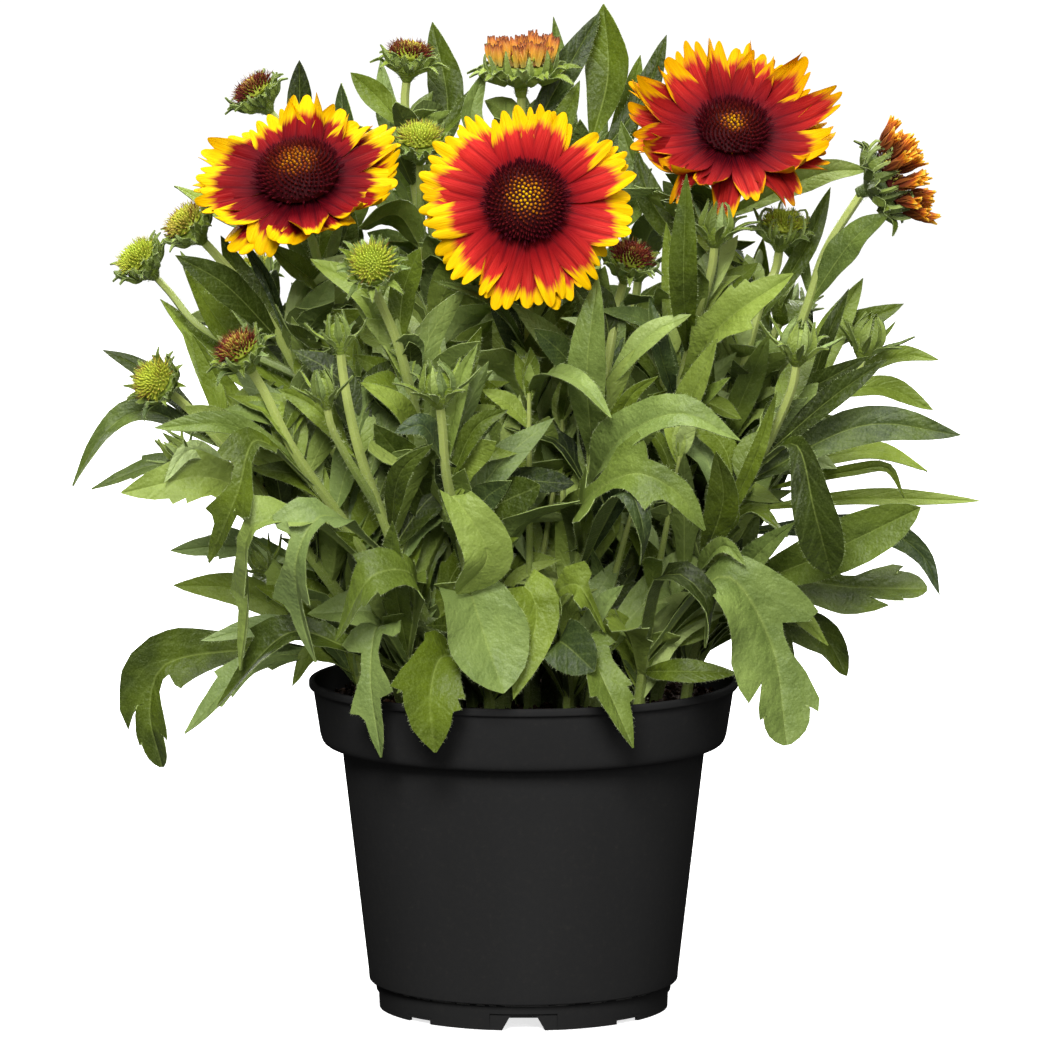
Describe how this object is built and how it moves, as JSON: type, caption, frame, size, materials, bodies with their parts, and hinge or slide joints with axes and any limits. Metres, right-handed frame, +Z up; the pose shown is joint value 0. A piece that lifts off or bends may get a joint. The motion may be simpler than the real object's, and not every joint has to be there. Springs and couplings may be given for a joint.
{
  "type": "blanket flower plant",
  "caption": "Bushy flowering perennial with red and yellow daisy heads, spiky buds and lance-shaped leaves, growing in a tapered nursery pot.",
  "frame": {"origin": "middle of the foot of the pot, on the surface that it stands on", "axes": "+Z up along the axis of the pot, -Y towards the front, where the open flowers face"},
  "size_m": [0.3582, 0.2436, 0.3961],
  "materials": {
    "black_plastic": "matte",
    "dark_peat": "matte",
    "green_foliage": "matte",
    "red_yellow_petals": "matte",
    "dark_florets": "matte",
    "orange_rays": "matte",
    "bud_florets": "matte"
  },
  "bodies": {
    "root": {"pot": "black_plastic", "soil": "dark_peat", "stem_left_bloom": "green_foliage", "stem_middle_bloom": "green_foliage", "stem_right_bloom": "green_foliage", "stem_side_bud": "green_foliage", "stem_top_bud": "green_foliage", "stem_high_left_bud": "green_foliage", "stem_upper_buds": "green_foliage", "stem_middle_left_bud": "green_foliage", "stem_far_left_buds": "green_foliage", "stem_left_yellow_bud": "green_foliage", "stem_left_maroon_bud": "green_foliage", "stem_front_green_bud": "green_foliage", "stem_behind_middle_bud": "green_foliage", "stem_middle_right_bud": "green_foliage", "stem_right_curled_bud": "green_foliage", "stem_right_green_bud": "green_foliage", "stem_far_right_bud": "green_foliage", "stem_small_left_buds": "green_foliage", "stem_low_left_bud": "green_foliage", "shoot_upper_right": "green_foliage", "shoot_upper_left": "green_foliage", "stem_back_left_bud": "green_foliage", "stem_back_middle_bud": "green_foliage", "stem_back_right_bud": "green_foliage", "stem_back_far_right_bud": "green_foliage", "basal_leaves_front_left": "green_foliage", "basal_leaves_front": "green_foliage", "basal_leaves_front_right": "green_foliage", "basal_leaves_right_front": "green_foliage", "basal_leaves_right": "green_foliage", "basal_leaves_left": "green_foliage", "basal_leaves_back_left": "green_foliage", "basal_leaves_back": "green_foliage", "basal_leaves_back_right": "green_foliage", "petals_left": "red_yellow_petals", "disc_left": "dark_florets", "petals_middle": "red_yellow_petals", "disc_middle": "dark_florets", "petals_right": "red_yellow_petals", "disc_right": "dark_florets", "rays_side": "orange_rays", "rays_top": "orange_rays", "button_1": "bud_florets", "button_2": "bud_florets", "button_3": "bud_florets", "button_4": "bud_florets", "button_5": "bud_florets", "button_6": "bud_florets", "button_7": "bud_florets", "button_8": "bud_florets", "button_9": "bud_florets", "button_10": "bud_florets", "button_11": "bud_florets", "button_12": "bud_florets"}
  },
  "joints": []
}
